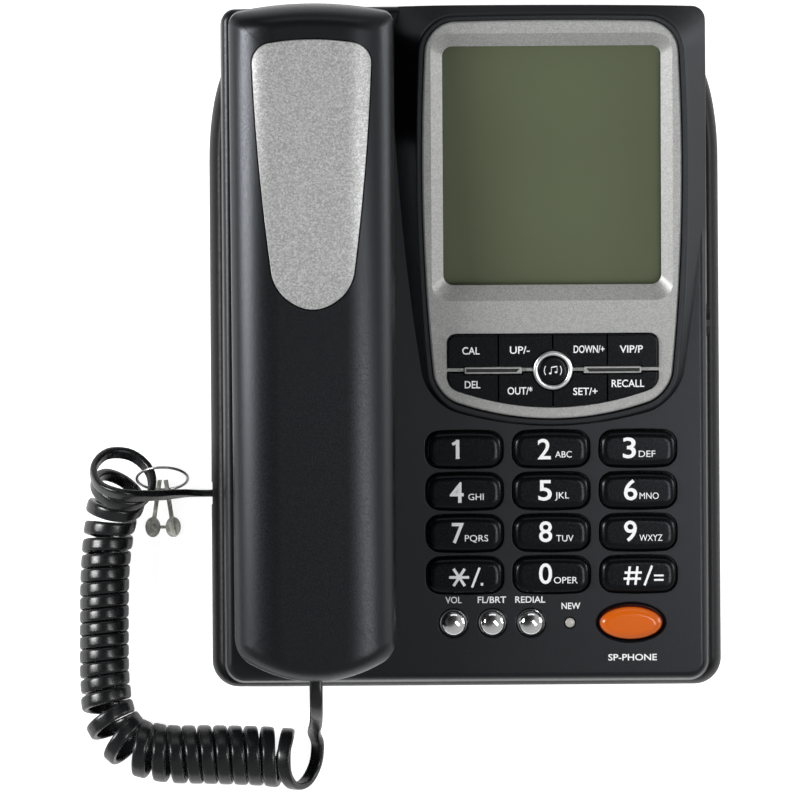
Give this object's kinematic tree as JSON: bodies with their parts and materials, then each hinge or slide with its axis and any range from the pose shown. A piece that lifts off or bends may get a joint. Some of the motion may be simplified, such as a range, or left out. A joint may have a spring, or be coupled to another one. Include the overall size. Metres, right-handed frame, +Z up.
{
  "type": "corded desk telephone",
  "caption": "Wedge-shaped corded desk telephone: handset on the left, tilted display, number and feature keys, curly cord and a ring of keys",
  "frame": {"origin": "centre of the base's footprint, on the plane of the feet", "axes": "+X towards the keypad side, +Y to the rear, +Z up"},
  "size_m": [0.2015, 0.2454, 0.0806],
  "materials": {
    "case_black": "smooth black, soft sheen",
    "base_black": "fine-grained black",
    "bezel_silver": "silver-grey with fine speckle",
    "inlay_glitter": "glitter silver",
    "display_clear": "clear window",
    "display_grey": "grey-green panel",
    "key_black": "smooth black with white print",
    "chrome": "bright plated",
    "orange": "smooth orange",
    "silicone": "matt silicone",
    "foot_rubber": "matt",
    "board_green": "circuit board",
    "steel": "plain",
    "lens_pale": "milky",
    "cord_black": "soft sheen",
    "plug_dark": "smoked",
    "key_grey": "moulded grey"
  },
  "bodies": {
    "base": {"top_case": "case_black", "bottom_case": "base_black", "foot_rear_left": "foot_rubber", "foot_rear_right": "foot_rubber", "foot_front_left": "foot_rubber", "foot_front_right": "foot_rubber", "loudspeaker": "steel", "line_jack": "plug_dark", "cord_socket": "plug_dark", "base_plug": "plug_dark", "display_bezel": "bezel_silver", "display_window": "display_clear", "display_panel": "display_grey", "display_board": "board_green", "melody_ring": "chrome", "feature_mat": "silicone", "keypad_mat": "silicone", "main_board": "board_green", "status_lens": "lens_pale", "handset_cord": "cord_black", "key_ring": "steel", "key_pair": "key_grey"},
    "handset": {"handset_back": "case_black", "handset_front": "case_black", "handset_inlay": "inlay_glitter", "earpiece": "steel", "microphone": "steel", "handset_weight": "steel", "handset_jack": "plug_dark", "handset_plug": "plug_dark"},
    "hook": {"hook_plunger": "plug_dark"},
    "lock": {"lock_barrel": "chrome"},
    "door": {"battery_door": "base_black"},
    "number_key_1": {"key_1": "key_black"},
    "number_key_2": {"key_2": "key_black"},
    "number_key_3": {"key_3": "key_black"},
    "number_key_4": {"key_4": "key_black"},
    "number_key_5": {"key_5": "key_black"},
    "number_key_6": {"key_6": "key_black"},
    "number_key_7": {"key_7": "key_black"},
    "number_key_8": {"key_8": "key_black"},
    "number_key_9": {"key_9": "key_black"},
    "number_key_star": {"key_star": "key_black"},
    "number_key_0": {"key_0": "key_black"},
    "number_key_hash": {"key_hash": "key_black"},
    "volume": {"volume_button": "chrome"},
    "flash": {"flash_button": "chrome"},
    "redial": {"redial_button": "chrome"},
    "speaker": {"speaker_button": "orange"},
    "feature_key_cal": {"cal_key": "key_black"},
    "feature_key_up": {"up_key": "key_black"},
    "feature_key_down": {"down_key": "key_black"},
    "feature_key_vip": {"vip_key": "key_black"},
    "feature_key_delete": {"delete_key": "key_black"},
    "feature_key_out": {"out_key": "key_black"},
    "feature_key_set": {"set_key": "key_black"},
    "feature_key_recall": {"recall_key": "key_black"},
    "melody": {"melody_button": "key_black"}
  },
  "joints": [
    {"name": "handset_lift", "type": "slide", "parent": "base", "child": "handset", "axis": [0, -0.1132, 0.9936], "range_m": [0, 0.07]},
    {"name": "hook_rise", "type": "slide", "parent": "base", "child": "hook", "axis": [0, -0.1132, 0.9936], "range_m": [0, 0.004]},
    {"name": "lock_turn", "type": "hinge", "parent": "base", "child": "lock", "pos_m": [0.076, 0.0076, 0.031], "axis": [1, 0, 0], "range_deg": [0, 90]},
    {"name": "battery_door_hinge", "type": "hinge", "parent": "base", "child": "door", "pos_m": [0.035, -0.0083, 0.0025], "axis": [1, 0, 0], "range_deg": [0, 95]},
    {"name": "number_key_1_press", "type": "slide", "parent": "base", "child": "number_key_1", "axis": [0, 0.1132, -0.9936], "range_m": [0, 0.0012], "stiffness_N_per_m": 700, "deforming": ["keypad_mat"]},
    {"name": "number_key_2_press", "type": "slide", "parent": "base", "child": "number_key_2", "axis": [0, 0.1132, -0.9936], "range_m": [0, 0.0012], "stiffness_N_per_m": 700, "deforming": ["keypad_mat"]},
    {"name": "number_key_3_press", "type": "slide", "parent": "base", "child": "number_key_3", "axis": [0, 0.1132, -0.9936], "range_m": [0, 0.0012], "stiffness_N_per_m": 700, "deforming": ["keypad_mat"]},
    {"name": "number_key_4_press", "type": "slide", "parent": "base", "child": "number_key_4", "axis": [0, 0.1132, -0.9936], "range_m": [0, 0.0012], "stiffness_N_per_m": 700, "deforming": ["keypad_mat"]},
    {"name": "number_key_5_press", "type": "slide", "parent": "base", "child": "number_key_5", "axis": [0, 0.1132, -0.9936], "range_m": [0, 0.0012], "stiffness_N_per_m": 700, "deforming": ["keypad_mat"]},
    {"name": "number_key_6_press", "type": "slide", "parent": "base", "child": "number_key_6", "axis": [0, 0.1132, -0.9936], "range_m": [0, 0.0012], "stiffness_N_per_m": 700, "deforming": ["keypad_mat"]},
    {"name": "number_key_7_press", "type": "slide", "parent": "base", "child": "number_key_7", "axis": [0, 0.1132, -0.9936], "range_m": [0, 0.0012], "stiffness_N_per_m": 700, "deforming": ["keypad_mat"]},
    {"name": "number_key_8_press", "type": "slide", "parent": "base", "child": "number_key_8", "axis": [0, 0.1132, -0.9936], "range_m": [0, 0.0012], "stiffness_N_per_m": 700, "deforming": ["keypad_mat"]},
    {"name": "number_key_9_press", "type": "slide", "parent": "base", "child": "number_key_9", "axis": [0, 0.1132, -0.9936], "range_m": [0, 0.0012], "stiffness_N_per_m": 700, "deforming": ["keypad_mat"]},
    {"name": "number_key_star_press", "type": "slide", "parent": "base", "child": "number_key_star", "axis": [0, 0.1132, -0.9936], "range_m": [0, 0.0012], "stiffness_N_per_m": 700, "deforming": ["keypad_mat"]},
    {"name": "number_key_0_press", "type": "slide", "parent": "base", "child": "number_key_0", "axis": [0, 0.1132, -0.9936], "range_m": [0, 0.0012], "stiffness_N_per_m": 700, "deforming": ["keypad_mat"]},
    {"name": "number_key_hash_press", "type": "slide", "parent": "base", "child": "number_key_hash", "axis": [0, 0.1132, -0.9936], "range_m": [0, 0.0012], "stiffness_N_per_m": 700, "deforming": ["keypad_mat"]},
    {"name": "volume_press", "type": "slide", "parent": "base", "child": "volume", "axis": [0, 0.1132, -0.9936], "range_m": [0, 0.0012], "stiffness_N_per_m": 500, "deforming": ["keypad_mat"]},
    {"name": "flash_press", "type": "slide", "parent": "base", "child": "flash", "axis": [0, 0.1132, -0.9936], "range_m": [0, 0.0012], "stiffness_N_per_m": 500, "deforming": ["keypad_mat"]},
    {"name": "redial_press", "type": "slide", "parent": "base", "child": "redial", "axis": [0, 0.1132, -0.9936], "range_m": [0, 0.0012], "stiffness_N_per_m": 500, "deforming": ["keypad_mat"]},
    {"name": "speaker_press", "type": "slide", "parent": "base", "child": "speaker", "axis": [0, 0.1132, -0.9936], "range_m": [0, 0.0012], "stiffness_N_per_m": 700, "deforming": ["keypad_mat"]},
    {"name": "feature_key_cal_press", "type": "slide", "parent": "base", "child": "feature_key_cal", "axis": [0, 0.1891, -0.982], "range_m": [0, 0.0012], "stiffness_N_per_m": 700, "deforming": ["feature_mat"]},
    {"name": "feature_key_up_press", "type": "slide", "parent": "base", "child": "feature_key_up", "axis": [0, 0.1891, -0.982], "range_m": [0, 0.0012], "stiffness_N_per_m": 700, "deforming": ["feature_mat"]},
    {"name": "feature_key_down_press", "type": "slide", "parent": "base", "child": "feature_key_down", "axis": [0, 0.1891, -0.982], "range_m": [0, 0.0012], "stiffness_N_per_m": 700, "deforming": ["feature_mat"]},
    {"name": "feature_key_vip_press", "type": "slide", "parent": "base", "child": "feature_key_vip", "axis": [0, 0.1891, -0.982], "range_m": [0, 0.0012], "stiffness_N_per_m": 700, "deforming": ["feature_mat"]},
    {"name": "feature_key_delete_press", "type": "slide", "parent": "base", "child": "feature_key_delete", "axis": [0, 0.1891, -0.982], "range_m": [0, 0.0012], "stiffness_N_per_m": 700, "deforming": ["feature_mat"]},
    {"name": "feature_key_out_press", "type": "slide", "parent": "base", "child": "feature_key_out", "axis": [0, 0.1891, -0.982], "range_m": [0, 0.0012], "stiffness_N_per_m": 700, "deforming": ["feature_mat"]},
    {"name": "feature_key_set_press", "type": "slide", "parent": "base", "child": "feature_key_set", "axis": [0, 0.1891, -0.982], "range_m": [0, 0.0012], "stiffness_N_per_m": 700, "deforming": ["feature_mat"]},
    {"name": "feature_key_recall_press", "type": "slide", "parent": "base", "child": "feature_key_recall", "axis": [0, 0.1891, -0.982], "range_m": [0, 0.0012], "stiffness_N_per_m": 700, "deforming": ["feature_mat"]},
    {"name": "melody_press", "type": "slide", "parent": "base", "child": "melody", "axis": [0, 0.1891, -0.982], "range_m": [0, 0.0012], "stiffness_N_per_m": 500, "deforming": ["feature_mat"]}
  ],
  "couplings": [
    {"joint": "hook_rise", "follows": "handset_lift", "ratio": 0.0571}
  ]
}
